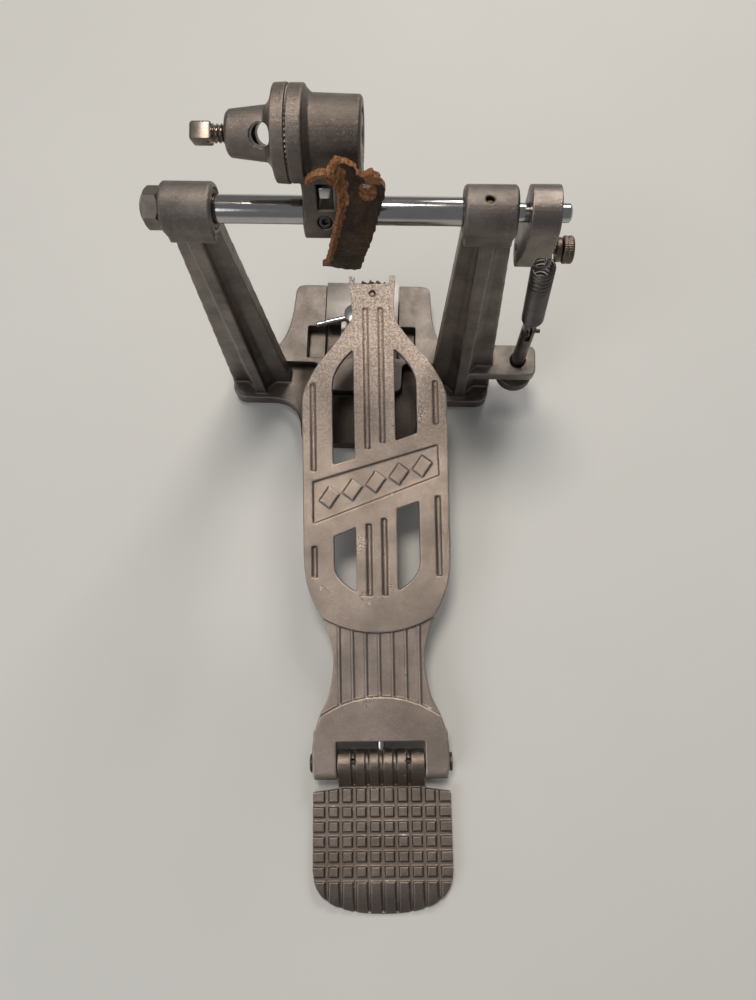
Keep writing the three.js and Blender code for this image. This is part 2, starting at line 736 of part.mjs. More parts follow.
// One window beside the spine: the outer edge bows in to meet the spine at one end, and the other
// end slopes beside the band. towards is +1 for a bow at the toe end and -1 for the heel end.
function windowShape(side, tip, outerStart, innerEnd, outerEnd) {
  const inner = side * 9.7;
  const outer = side * 20;
  const shape = new THREE.Shape();
  shape.moveTo(inner, innerEnd);
  shape.lineTo(inner, tip);
  shape.quadraticCurveTo(outer, (tip + outerStart) / 2, outer, outerStart);
  shape.lineTo(outer, outerEnd);
  return shape;
}

function groove(x, y0, y1) {
  return block(x - 0.75, x + 0.75, y0, y1, BOARD_TOP - 0.9, BOARD_TOP + 2);
}

function boardGrooves() {
  return [
    groove(-3.6, 146, 214),
    groove(3.6, 148.5, 214),
    groove(-3.6, 77, 110.5),
    groove(3.6, 77, 113),
    groove(-29.2, 136, 178),
    groove(-29.2, 86, 100.6),
    groove(29, 157, 178),
    groove(29, 85.7, 123),
  ];
}

// The sunken band across the board, with a plain row of raised lozenges in it.
function boardBand() {
  const slope = (147.5 - 131) / 60;
  const band = polygon([-29.8, 111], [30, 132.8], [29.6, 147.5], [-29.8, 131]);
  let recess = plateZ(band, BOARD_TOP - 0.9, BOARD_TOP + 2);
  for (let column = -2; column <= 2; column++) {
    const x = column * 11;
    const y = 130.4 + x * (slope + 0.04);
    const lozenge = polygon([x - 4.6, y - 1.4], [x, y - 5], [x + 4.6, y + 1.4], [x, y + 5]);
    recess = recess.subtract(plateZ(lozenge, BOARD_TOP - 2, BOARD_TOP - 0.1));
  }
  return recess;
}

function neckRecess() {
  const panel = rodZ(0, 20, PANEL_FOOT_RADIUS, 0, PANEL_FOOT + PANEL_FOOT_RADIUS, 96);
  const pad = rodZ(0, 20, PAD_RADIUS, 0, PAD_HEAD - PAD_RADIUS, 96);
  const ribs = [];
  for (let rib = -3; rib <= 3; rib++) {
    const x = rib * RIB_PITCH;
    ribs.push(block(x - 0.45, x + 0.45, 10, 80, 0, BOARD_TOP - 0.6));
  }
  return cut(block(-40, 40, 12, 75, BOARD_TOP - 1.2, BOARD_TOP + 2), panel, pad, ...ribs);
}

function clevisArm() {
  const arm = new THREE.Shape();
  arm.moveTo(-7.4, 0);
  arm.quadraticCurveTo(-7.4, BOARD_TOP, -3, BOARD_TOP);
  arm.lineTo(15, BOARD_TOP);
  arm.lineTo(15, BOARD_TOP - BOARD_PLATE - 1);
  arm.lineTo(6.2, -2);
  arm.quadraticCurveTo(4.5, -6.2, 0, -6.2);
  arm.quadraticCurveTo(-7.4, -6.2, -7.4, 0);
  return plateX(arm, CLEVIS_HALF_GAP, CLEVIS_HALF_WIDTH - 0.6);
}

function footboard() {
  const underside = BOARD_TOP - BOARD_PLATE;
  const plate = plateZ(mirrored(boardPath()), underside, BOARD_TOP);
  const rimDepth = -3.5;
  const rimOuter = plateZ(mirrored(boardPath(0.4)), rimDepth, underside + 0.5);
  const rimInner = plateZ(mirrored(boardPath(3)), rimDepth - 1, underside + 1);
  const rim = rimOuter.subtract(rimInner).intersect(block(-50, 50, 22, 203, -20, 20));
  const spine = block(-2.2, 2.2, 40, 205, rimDepth + 1, underside + 0.5);
  const landHalf = CLEVIS_HALF_GAP + 1;
  const stopLand = block(-landHalf, landHalf, 10.5, 16.5, 0.63, underside + 0.5); // rests on the rod
  const arm = clevisArm();
  const windows = [
    windowShape(-1, 194, 176, 141.9, 138.9),
    windowShape(1, 194, 176, 149.6, 153.2),
    windowShape(-1, 78.8, 91, 108.9, 104.8),
    windowShape(1, 79.2, 92, 117.2, 120.6),
  ].map((shape) => plateZ(shape, -10, 20));
  return cut(
    joined(plate, rim, spine, stopLand, arm, mirrorX(arm)),
    neckRecess(),
    boardBand(),
    ...boardGrooves(),
    ...windows,
    rodX(-40, 40, HINGE_PIN_RADIUS + GAP),
    rodZ(-10, 20, 1.6, 0, TOE_SCREW_Y, 20),
  );
}

// The other end of the torn strap, clamped under the toe.
function strapStub() {
  const torn = polygon(
    [-7.6, 206],
    [7.6, 206],
    [7.6, 226],
    [5.4, 228.6],
    [3.4, 227.4],
    [1.2, 229.4],
    [-1.4, 227.6],
    [-3.8, 229.2],
    [-7.6, 226],
  );
  return cut(plateZ(torn, -1.1, 1.4), rodZ(-5, 5, 1.8, 0, TOE_SCREW_Y, 20));
}

function strapPlate() {
  return cut(block(-7, 7, 208, 223.5, -2.9, -1.4), rodZ(-5, 5, 1.8, 0, TOE_SCREW_Y, 20));
}

function toeScrew() {
  const shank = rodZ(-4, 4.2, 1.3, 0, TOE_SCREW_Y, 20);
  const head = rodZ(-5.4, -3.2, 2.9, 0, TOE_SCREW_Y, 24);
  return cut(joined(shank, head), block(-4, 4, TOE_SCREW_Y - 0.4, TOE_SCREW_Y + 0.4, -6, -4.6));
}

// ---------- the assembly ----------

const pedal = new THREE.Group();

pedal.add(
  piece("frame_casting", frameCasting(), castAluminium),
  piece("clamp_jaw", clampJaw(), polishedSteel),
  piece("jaw_pin", jawPin(), darkSteel),
  piece("spring_eye", springEye(), darkSteel),
  piece("spring_coil", springCoil(), darkSteel),
  piece("spring_hook", springHook(), darkSteel),
  piece("tension_rod", tensionRod(), darkSteel),
  piece("rod_cross_pin", rodCrossPin(), darkSteel),
  piece("tension_nut", tensionNut(), darkSteel),
);

const clamp = new THREE.Group();
clamp.position.set(CLAMP_X, CLAMP_SCREW_Y, 0);
clamp.rotation.z = 15 * DEGREE;
clamp.add(piece("clamp_screw", clampScrew(), polishedSteel), piece("clamp_bar", clampBar(), polishedSteel));
pedal.add(clamp);

const shaftLine = new THREE.Group();
shaftLine.position.z = SHAFT_HEIGHT;
shaftLine.add(
  piece("left_bushing", leftBushing(), bronze),
  piece("right_bushing", rightBushing(), bronze),
  piece("left_bearing_screw", leftBearingScrew(), darkSteel),
  piece("left_lock_nut", leftLockNut(), darkSteel),
  piece("shaft", shaft(), polishedSteel),
  piece("leather_strap", leatherStrap(), leather),
  piece("spring_crank", springCrank(), castAluminium),
  piece("crank_set_screw", crankSetScrew(), darkSteel),
  piece("crank_pin_screw", crankPinScrew(), darkSteel),
  piece("spring_retainer_washer", retainerWasher(), darkSteel),
);
pedal.add(shaftLine);

const hub = new THREE.Group();
hub.rotation.x = -HUB_LEAN;
hub.add(
  piece("beater_hub", beaterHub(), castAluminium),
  piece("hub_set_screw", hubSetScrew(), darkSteel),
  piece("strap_screw", strapScrew(), polishedSteel),
  piece("strap_nut", strapNut(), polishedSteel),
  piece("clutch_bolt", clutchBolt(), darkSteel),
  piece("clutch_cap", clutchCap(), castAluminium),
  piece("beater_screw", beaterScrew(), polishedSteel),
);
shaftLine.add(hub);

const heel = new THREE.Group();
heel.position.set(PIVOT_X, PIVOT_Y, 0);
heel.rotation.z = HEEL_YAW;
heel.add(piece("radius_rod", radiusRod(), polishedSteel), piece("swivel_screw", swivelScrew(), darkSteel));
pedal.add(heel);

const hinge = new THREE.Group();
hinge.position.y = HINGE_Y;
hinge.add(
  piece("heel_plate", heelPlate(), castAluminium),
  piece("hinge_pin", hingePin(), darkSteel),
  piece("hinge_pin_nut", hingePinNut(), darkSteel),
);
heel.add(hinge);

const board = new THREE.Group();
board.position.z = HINGE_HEIGHT;
board.rotation.x = BOARD_TILT;
board.add(
  piece("footboard", footboard(), castAluminium),
  piece("strap_stub", strapStub(), leather),
  piece("strap_plate", strapPlate(), polishedSteel),
  piece("toe_screw", toeScrew(), darkSteel),
);
hinge.add(board);

export default pedal;
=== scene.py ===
import json
import math

import bmesh
import bpy
import numpy as np
from mathutils import Matrix, Vector, noise


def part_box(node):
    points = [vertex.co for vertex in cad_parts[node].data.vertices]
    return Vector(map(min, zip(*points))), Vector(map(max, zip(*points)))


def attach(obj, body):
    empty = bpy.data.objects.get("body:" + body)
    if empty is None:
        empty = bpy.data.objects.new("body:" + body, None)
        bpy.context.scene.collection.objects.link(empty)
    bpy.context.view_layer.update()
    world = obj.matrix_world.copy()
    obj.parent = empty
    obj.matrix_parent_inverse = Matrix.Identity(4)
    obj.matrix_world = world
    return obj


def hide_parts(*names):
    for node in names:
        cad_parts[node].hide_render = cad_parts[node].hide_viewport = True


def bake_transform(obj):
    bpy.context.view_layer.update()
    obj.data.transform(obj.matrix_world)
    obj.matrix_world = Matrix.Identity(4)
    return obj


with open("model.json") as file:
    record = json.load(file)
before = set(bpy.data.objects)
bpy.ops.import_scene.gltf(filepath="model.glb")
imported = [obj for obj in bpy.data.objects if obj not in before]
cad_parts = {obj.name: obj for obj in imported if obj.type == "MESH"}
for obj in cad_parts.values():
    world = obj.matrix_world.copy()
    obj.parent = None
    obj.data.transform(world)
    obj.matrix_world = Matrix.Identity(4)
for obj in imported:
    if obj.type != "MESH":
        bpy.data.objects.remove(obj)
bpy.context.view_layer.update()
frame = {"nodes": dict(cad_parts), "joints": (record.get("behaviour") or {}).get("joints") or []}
noise.seed_set(7)  # without a seed noise_vector, used on the leather, differs from run to run

# Shapes are worked out in millimetres in the frame of the sub-part they belong to, and placed in
# the frame of the whole part in metres.
MM = 0.001
JOINTS = {joint["name"]: joint for joint in frame["joints"]}
SHAFT_POINT = Vector(JOINTS["beater_swing"]["pos_m"])
SHAFT_LINE = Matrix.Translation(SHAFT_POINT)
HUB_LEAN = math.radians(20)
HUB = SHAFT_LINE @ Matrix.Rotation(-HUB_LEAN, 4, "X")
HINGE_AXIS = Vector(JOINTS["footboard_tilt"]["axis"])
HEEL_YAW = math.atan2(HINGE_AXIS.y, HINGE_AXIS.x)
HINGE_POINT = Vector(JOINTS["footboard_tilt"]["pos_m"])
HINGE = Matrix.Translation(HINGE_POINT) @ Matrix.Rotation(HEEL_YAW, 4, "Z")
BOARD_TILT = math.radians(9.2)
BOARD = HINGE @ Matrix.Rotation(BOARD_TILT, 4, "X")
WHOLE = Matrix.Identity(4)

HEAD_TURN = math.radians(38)  # of the beater screw's square head
BARREL_OFFSET = 27.3  # from the shaft's axis to the clutch barrel's, in the hub's frame
CLUTCH_JOINT = -13.5  # where the hub's barrel and the cap meet, along the shaft
POST_MIDDLE = 51.35  # from the middle of the part to the middle of each post
CRANK_ARM = 22.5  # from the shaft's axis to the crank's pin
HOOK_PIN_HEIGHT = 66.0  # of the pin that the spring's hook hangs on, above the floor
CLAMP_BAR_HEIGHT = 0.026  # above the floor, in metres
CLAMP_BAR_TURN = math.radians(15)
BOARD_TOP = 5.5  # above the hinge's axis
PLATE_TOP = -2.5  # the heel plate's level top, below the hinge's axis
WAFFLE_PITCH = 6.4

SHRINK_STEP = -0.53  # the outward half of a smoothing round, just over the inward half
INWARD_STEP = 0.5
# The same warmth also goes into the painted shade in hollows and in the tray under the footboard.
DIRT_AND_SHADE_WARMTH = 0.03  # how much warmer dirt and patina are than the metal they lie on


# ---------- camera ----------


def make_camera():
    """Looks down on the pedal from above the heel's end."""
    data = bpy.data.cameras.new("camera")
    data.sensor_width = 36
    data.lens = 28.08
    data.clip_start = 0.01
    camera = bpy.data.objects.new("camera", data)
    camera.location = (0.02527, -0.15707, 0.38908)
    camera.rotation_euler = [math.radians(angle) for angle in (13.554, 1.639, 1.898)]
    bpy.context.scene.collection.objects.link(camera)
    bpy.context.scene.camera = camera


# ---------- shapes: each is a list of points in millimetres and a list of faces ----------


def merge(*shapes):
    points, faces = [], []
    for shape_points, shape_faces in shapes:
        start = len(points)
        points.extend(shape_points)
        faces.extend([start + index for index in face] for face in shape_faces)
    return points, faces


def walls(rings, sides):
    """Faces that join each ring of points to the next one."""
    faces = []
    for ring in range(rings - 1):
        first, second = ring * sides, (ring + 1) * sides
        for side in range(sides):
            after = (side + 1) % sides
            faces.append([first + side, first + after, second + after, second + side])
    return faces


def teeth_wave(angle, count):
    """A sawtooth that goes from 1 to 0 and back once for each of count teeth round a piece."""
    return abs((angle * count / (2 * math.pi)) % 1 - 0.5) * 2


def rounded(profile, radius, steps=4):
    """The open profile with its inner corners turned into short curves."""
    result = [profile[0]]
    for before, corner, after in zip(profile, profile[1:], profile[2:]):
        here = Vector(corner)
        back, on = Vector(before) - here, Vector(after) - here
        reach = min(radius, back.length / 2, on.length / 2)
        start, end = here + back.normalized() * reach, here + on.normalized() * reach
        for step in range(steps + 1):
            t = step / steps
            point = start * (1 - t) ** 2 + here * 2 * t * (1 - t) + end * t * t
            result.append((point.x, point.y))
    result.append(profile[-1])
    return result


def turned(profile, y=0.0, z=0.0, segments=72, ripple=None):
    """A turned piece along X. profile lists (x, radius); ripple(x, radius, angle) changes the
    radius."""
    points = []
    for x, radius in profile:
        for side in range(segments):
            angle = 2 * math.pi * side / segments
            r = ripple(x, radius, angle) if ripple else radius
            points.append((x, y + r * math.cos(angle), z + r * math.sin(angle)))
    rings = len(profile)
    faces = walls(rings, segments)
    for x, ring, order in ((profile[0][0], 0, 1), (profile[-1][0], rings - 1, -1)):
        centre = len(points)
        points.append((x, y, z))
        for side in range(segments):
            pair = [ring * segments + side, ring * segments + (side + 1) % segments]
            faces.append([centre] + pair[::-order])
    return points, faces


def prism(outline, low, high):
    """A straight prism up Z over a plan outline."""
    count = len(outline)
    points = [(x, y, low) for x, y in outline] + [(x, y, high) for x, y in outline]
    sides = [[i, (i + 1) % count, count + (i + 1) % count, count + i] for i in range(count)]
    return points, sides + [list(range(count))[::-1], list(range(count, 2 * count))]


def turn_shape(shape, matrix):
    points, faces = shape
    return [tuple(matrix @ Vector(point)) for point in points], faces


def box(x0, x1, y0, y1, z0, z1):
    return prism([(x0, y0), (x1, y0), (x1, y1), (x0, y1)], z0, z1)


def along_x(outline, x0, x1):
    """A prism along X over an outline in Y and Z."""
    points, faces = prism(outline, x0, x1)
    return [(z, x, y) for x, y, z in points], faces


def tube(path, radius, sides=10):
    """A round wire along a path, with its ends closed. radius is a number, or gives one for a
    share of the way along."""
    path = [Vector(point) for point in path]
    points = []
    normal = None
    for index, point in enumerate(path):
        ahead = path[min(index + 1, len(path) - 1)] - path[max(index - 1, 0)]
        ahead.normalize()
        if normal is None:
            normal = ahead.orthogonal().normalized()
        normal = (normal - ahead * normal.dot(ahead)).normalized()
        across = ahead.cross(normal)
        size = radius(index / (len(path) - 1)) if callable(radius) else radius
        for side in range(sides):
            angle = 2 * math.pi * side / sides
            spoke = normal * math.cos(angle) + across * math.sin(angle)
            points.append(tuple(point + spoke * size))
    faces = walls(len(path), sides)
    last = (len(path) - 1) * sides
    faces.append(list(range(sides))[::-1])
    faces.append([last + side for side in range(sides)])
    return points, faces


# ---------- from shapes to pieces ----------


def mesh_of(shape, place):
    points, faces = shape
    mesh = bpy.data.meshes.new("shape")
    mesh.from_pydata([place @ (Vector(point) * MM) for point in points], [], faces)
    work = bmesh.new()
    work.from_mesh(mesh)
    bmesh.ops.recalc_face_normals(work, faces=work.faces)
    work.to_mesh(mesh)
    work.free()
    return mesh


def node_mesh(node):
    """A CAD node's mesh as one welded surface."""
    work = bmesh.new()
    work.from_mesh(frame["nodes"][node].data)
    bmesh.ops.remove_doubles(work, verts=work.verts, dist=1e-6)
    mesh = bpy.data.meshes.new(node)
    work.to_mesh(mesh)
    work.free()
    return mesh


def linked(name, mesh):
    made = bpy.data.objects.new(name, mesh)
    bpy.context.scene.collection.objects.link(made)
    return made


def settle(obj):
    """Turns an object's modifiers into its mesh."""
    graph = bpy.context.evaluated_depsgraph_get()
    mesh = bpy.data.meshes.new_from_object(obj.evaluated_get(graph), depsgraph=graph)
    obj.modifiers.clear()
    obj.data = mesh


def combine(obj, shapes, place, operation):
    """Joins closed shapes to an object or cuts them out of it."""
    tools = []
    for shape in shapes:
        tool = linked("tool", mesh_of(shape, place))
        modifier = obj.modifiers.new("combine", "BOOLEAN")
        modifier.operation = operation
        modifier.solver = "MANIFOLD"
        modifier.object = tool
        tools.append(tool)
    if tools:
        settle(obj)
    for tool in tools:
        bpy.data.objects.remove(tool)


def relax(mesh, rounds, ease=None):
    """Rounds a dense mesh's edges, with alternate steps in and out so that it keeps its size.
    ease(points) gives each point's share of the smoothing."""
    count = len(mesh.vertices)
    points = np.empty(count * 3)
    mesh.vertices.foreach_get("co", points)
    points = points.reshape(-1, 3)
    ends = np.empty(len(mesh.edges) * 2, dtype=np.int64)
    mesh.edges.foreach_get("vertices", ends)
    a, b = ends.reshape(-1, 2).T
    degree = np.bincount(a, minlength=count) + np.bincount(b, minlength=count)
    weight = np.ones(count) if ease is None else ease(points)
    for step in range(2 * rounds):
        total = [
            np.bincount(a, points[b, k], count) + np.bincount(b, points[a, k], count)
            for k in range(3)
        ]
        mean = np.stack(total, axis=1) / degree[:, None]
        factor = INWARD_STEP if step % 2 == 0 else SHRINK_STEP
        points = points + factor * weight[:, None] * (mean - points)
    mesh.vertices.foreach_set("co", points.ravel())
    mesh.update()


def remesh(obj, voxel, place):
    """Remakes a closed object as one even mesh whose grid lies along a sub-part's own frame."""
    obj.data.transform(place.inverted())
    modifier = obj.modifiers.new("remesh", "REMESH")
    modifier.mode = "VOXEL"
    modifier.voxel_size = voxel * MM
    settle(obj)


def thin(obj, triangles):
    """Takes faces out of the flatter parts of a mesh until it is within a budget, and evens its
    shading."""
    faces = 2 * len(obj.data.polygons)
    if faces > triangles:
        modifier = obj.modifiers.new("thin", "DECIMATE")
        modifier.ratio = triangles / faces
        settle(obj)
        relax(obj.data, 2)
    obj.data.shade_smooth()
    obj.modifiers.new("normals", "WEIGHTED_NORMAL")
    settle(obj)


def shown(obj, body, material, slot, *nodes):
    """Hands a finished piece to its body, with its finish and the CAD nodes it stands for."""
    obj.data.shade_smooth()
    obj.data.materials.clear()
    obj.data.materials.append(material)
    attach(obj, body)
    if nodes:
        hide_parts(*nodes)


def cast_piece(node, body, material, voxel, rounds, place, budget, add=(), cut=(), ease=None):
    """A casting or forging: the CAD solid with more shape worked in, and its edges rounded. voxel
    is in millimetres, and budget is the most triangles it may keep."""
    obj = linked(node + "_shown", node_mesh(node))
    combine(obj, add, place, "UNION")
    combine(obj, cut, place, "DIFFERENCE")
    remesh(obj, voxel, place)
    relax(obj.data, rounds, ease=ease)
    obj.data.transform(place)
    thin(obj, budget)
    shown(obj, body, material, "cast_aluminium", node)


def machined_piece(node, body, material, slot, edge):
    """A machined part: the CAD solid with its edges broken by a bevel edge millimetres wide."""
    flat, sharp = math.radians(1), math.radians(35)
    mesh = node_mesh(node)
    work = bmesh.new()
    work.from_mesh(mesh)
    bmesh.ops.dissolve_limit(work, angle_limit=flat, verts=work.verts, edges=work.edges)
    work.to_mesh(mesh)
    work.free()
    obj = linked(node + "_shown", mesh)
    modifier = obj.modifiers.new("edge", "BEVEL")
    modifier.width = edge * MM
    modifier.segments = 2
    modifier.limit_method = "ANGLE"
    modifier.angle_limit = sharp
    settle(obj)
    shown(obj, body, material, slot, node)
    obj.data.set_sharp_from_angle(angle=sharp)


def made_piece(name, shape, place, body, material, slot, *nodes, sharp=50):
    """A piece made from a shape. Edges that turn more than sharp degrees stay crisp."""
    obj = linked(name, mesh_of(shape, place))
    shown(obj, body, material, slot, *nodes)
    obj.data.set_sharp_from_angle(angle=math.radians(sharp))


# ---------- materials ----------


class Finish:
    """A new material, with short calls for the nodes used here."""

    def __init__(self, name, metallic=0.0, roughness=0.5):
        self.material = bpy.data.materials.new(name)
        self.material.use_nodes = True
        self.tree = self.material.node_tree
        self.surface = self.tree.nodes["Principled BSDF"]
        self.place = self.node("ShaderNodeTexCoord").outputs["Object"]
        self.pointiness = self.node("ShaderNodeNewGeometry").outputs["Pointiness"]
        self.set("Metallic", metallic)
        self.set("Roughness", roughness)

    def set(self, socket, value):
        self.fill(self.surface.inputs[socket], value)

    def fill(self, socket, value):
        if isinstance(value, bpy.types.NodeSocket):
            self.tree.links.new(value, socket)
        else:
            socket.default_value = value

    def node(self, kind, inputs=(), **settings):
        made = self.tree.nodes.new(kind)
        for key, value in settings.items():
            setattr(made, key, value)
        for key, value in dict(inputs).items():
            self.fill(made.inputs[key], value)
        return made

    def stretched(self, scale):
        mapping = self.node("ShaderNodeMapping", {"Vector": self.place, "Scale": scale})
        return mapping.outputs["Vector"]

    def noise(self, scale, detail=3.0, rough=0.55, vector=None):
        inputs = {"Vector": vector or self.place, "Scale": scale}
        inputs.update({"Detail": detail, "Roughness": rough})
        return self.node("ShaderNodeTexNoise", inputs).outputs["Fac"]

    def cells(self, scale):
        inputs = {"Vector": self.place, "Scale": scale}
        return self.node("ShaderNodeTexVoronoi", inputs).outputs["Distance"]

    def step(self, value, low, high, to_low=0.0, to_high=1.0):
        inputs = {"Value": value, "From Min": low, "From Max": high}
        inputs.update({"To Min": to_low, "To Max": to_high})
        return self.node("ShaderNodeMapRange", inputs, clamp=True).outputs["Result"]

    def math(self, operation, a, b):
        return self.node("ShaderNodeMath", {0: a, 1: b}, operation=operation).outputs["Value"]

    def mix(self, factor, a, b):
        made = self.node("ShaderNodeMix", {0: factor, 6: a, 7: b}, data_type="RGBA")
        return made.outputs[2]

    def axis(self, name):
        return self.node("ShaderNodeSeparateXYZ", {"Vector": self.place}).outputs[name]

    def bump(self, height, distance, strength=1.0):
        inputs = {"Height": height, "Distance": distance * MM, "Strength": strength}
        return self.node("ShaderNodeBump", inputs).outputs["Normal"]


def grey(level, warmth):
    """A grey that leans towards yellow brown as warmth grows."""
    return (level * (1 + 3.8 * warmth), level, level * (1 - 2.6 * warmth), 1.0)


def cast_aluminium(name, level, warmth, grain, roughness, tarnish, wear_and_highlight, toe=None, shadow_in_tray=False):
    """Aged sand-cast aluminium: cloudy tarnish, dirt and painted shade in the hollows, worn edges
    painted lighter as a highlight, painted glints and a fine grain. toe gives the places along Y
    between which the grain grows coarse and the colour is painted brighter, a painted highlight as
    well as grain. The last flag paints the shadow under the footboard into the low tray between the
    posts."""
    finish = Finish(name, metallic=1.0)
    clouds = finish.step(finish.noise(45, 5, 0.6), 0.38, 0.64)
    blots = finish.step(finish.noise(230, 6, 0.7), 0.48, 0.66)
    glints = finish.step(finish.noise(1300, 4, 0.75), 0.58, 0.70)
    specks = finish.step(finish.cells(1300), 0.02, 0.20, 1, 0)
    bright, middle = grey(level * 1.35, warmth), grey(level, warmth)
    dull, dirt_and_shade = grey(level * 0.58, warmth), grey(level * 0.2, warmth + DIRT_AND_SHADE_WARMTH)
    glint, rim_highlight = grey(min(level * 2.8, 0.85), warmth), grey(min(level * 2.6, 0.8), warmth * 0.6)
    colour = finish.mix(finish.math("MULTIPLY", clouds, tarnish), bright, dull)
    colour = finish.mix(finish.math("MULTIPLY", blots, tarnish * 0.8), colour, middle)
    colour = finish.mix(finish.math("MULTIPLY", specks, 0.5), colour, dirt_and_shade)
    shine = 0.45
    if toe:
        # Towards the toe the colour is painted much brighter and coarser, with stronger glints:
        # sandy grain and a painted highlight.
        reach = finish.step(finish.axis("Y"), toe[0], toe[1])
        sand = finish.step(finish.noise(950, 4, 0.8), 0.40, 0.62)
        sandy_highlight = finish.mix(sand, grey(level * 1.1, warmth * 0.8), grey(level * 3.6, warmth * 1.1))
        colour = finish.mix(finish.math("MULTIPLY", reach, 0.8), colour, sandy_highlight)
        shine = finish.step(reach, 0, 1, 0.3, 1.0)
    colour = finish.mix(finish.math("MULTIPLY", glints, shine), colour, glint)
    # Dirt and painted shade: hollows, found by pointiness, are darkened to stand in for the shade
    # that falls in them.
    hollow_shade = finish.step(finish.pointiness, 0.40, 0.495, 1, 0)
    colour = finish.mix(finish.math("MULTIPLY", hollow_shade, 0.75), colour, dirt_and_shade)
    # Wear and a painted highlight: convex edges are painted lighter.
    edge = finish.step(finish.pointiness, 0.51, 0.60)
    colour = finish.mix(finish.math("MULTIPLY", edge, wear_and_highlight), colour, rim_highlight)
    if shadow_in_tray:
        # Painted shadow: the low tray between the posts, under the footboard, is darkened where the
        # board shades it.
        side = finish.step(finish.math("ABSOLUTE", finish.axis("X"), 0), 0.030, 0.036, 1, 0)
        low = finish.step(finish.axis("Z"), 0.010, 0.018, 1, 0)
        near = finish.step(finish.axis("Y"), 0.006, 0.016, 1, 0)
        tray = finish.math("MULTIPLY", finish.math("MULTIPLY", side, low), near)
        tray_shadow = grey(level * 0.16, warmth + DIRT_AND_SHADE_WARMTH)
        colour = finish.mix(finish.math("MULTIPLY", tray, 0.85), colour, tray_shadow)
    finish.set("Base Color", colour)
    fine = finish.noise(2200, 4, 0.75)
    coarse = finish.noise(620, 4, 0.65)
    height = finish.math("ADD", finish.math("MULTIPLY", coarse, 0.8), fine)
    if toe:
        flakes = finish.noise(1100, 3, 0.8)
        chips = finish.math("MULTIPLY", flakes, finish.math("MULTIPLY", reach, 3.0))
        height = finish.math("ADD", height, chips)
    finish.set("Normal", finish.bump(height, grain))
    rough = finish.step(finish.noise(90, 5, 0.6), 0.3, 0.7, roughness - 0.07, roughness + 0.1)
    finish.set("Roughness", rough)
    return finish.material


def steel(name, level, warmth, roughness, patina, turned_marks=0.0):
    """Steel, with a thin uneven patina and, on turned parts, fine rings along X."""
    finish = Finish(name, metallic=1.0)
    film = finish.step(finish.noise(130, 5, 0.6), 0.42, 0.7)
    clean, dull = grey(level, warmth), grey(level * 0.45, warmth + DIRT_AND_SHADE_WARMTH)
    dirt_and_shade = grey(level * 0.2, warmth + DIRT_AND_SHADE_WARMTH)
    colour = finish.mix(finish.math("MULTIPLY", film, patina), clean, dull)
    # Dirt and painted shade: hollows, found by pointiness, are darkened to stand in for the shade
    # in them.
    hollow_shade = finish.step(finish.pointiness, 0.42, 0.49, 1, 0)
    colour = finish.mix(finish.math("MULTIPLY", hollow_shade, 0.6), colour, dirt_and_shade)
    finish.set("Base Color", colour)
    finish.set("Roughness", finish.step(film, 0, 1, roughness, roughness + 0.22 * patina + 0.03))
    marks = finish.noise(1, 3, 0.6, finish.stretched((5200, 60, 60)))
    height = finish.math("ADD", finish.math("MULTIPLY", marks, turned_marks), finish.noise(700, 3))
    finish.set("Normal", finish.bump(height, 0.012, 0.7))
    return finish.material


def leather_finish():
    """Dry dark leather whose torn edges, marked on the mesh, are raw and tan."""
    finish = Finish("leather_dry")
    finish.set("Specular IOR Level", 0.35)
    raw = finish.node("ShaderNodeAttribute", attribute_name="raw").outputs["Fac"]
    mottle = finish.noise(160, 5, 0.65)
    fibres = finish.noise(900, 5, 0.7)
    deep, faded = (0.016, 0.008, 0.003, 1), (0.060, 0.029, 0.011, 1)
    torn, frayed = (0.10, 0.036, 0.013, 1), (0.36, 0.17, 0.075, 1)
    dark = finish.mix(finish.step(mottle, 0.35, 0.7), deep, faded)
    dust = finish.step(finish.noise(420, 5, 0.7), 0.62, 0.78)
    dark = finish.mix(finish.math("MULTIPLY", dust, 0.35), dark, (0.22, 0.12, 0.045, 1))
    tan = finish.mix(finish.step(fibres, 0.35, 0.65), torn, frayed)
    spread = finish.step(finish.math("ADD", raw, finish.math("MULTIPLY", mottle, 0.35)), 0.42, 0.75)
    finish.set("Base Color", finish.mix(spread, dark, tan))
    finish.set("Roughness", finish.step(spread, 0, 1, 0.62, 0.92))
    grain = finish.math("ADD", finish.cells(750), finish.math("MULTIPLY", fibres, 0.8))
    finish.set("Normal", finish.bump(grain, 0.22))
    return finish.material


def floor_finish():
    finish = Finish("pale_floor", roughness=0.62)
    tone = finish.noise(6, 3)
    finish.set("Base Color", finish.mix(tone, (0.60, 0.595, 0.57, 1), (0.66, 0.655, 0.63, 1)))
    finish.set("Normal", finish.bump(finish.noise(900, 2), 0.02))
    return finish.material


# ---------- the frame casting ----------


def post_fillets(side):
    """Fills the corners between a post's flange and its rib, from the base up to the bearing."""
    middle = POST_MIDDLE * side
    points = []
    for height, wide, deep in ((6, 10.6, 9.4), (40, 9.2, 8.4), (140, 7.2, 7.0)):
        points += [(middle - wide, 0, height), (middle, -deep, height)]
        points += [(middle + wide, 0, height), (middle, deep, height)]
    ends = [[0, 1, 2, 3], [8, 9, 10, 11]]
    return points, ends + walls(3, 4)


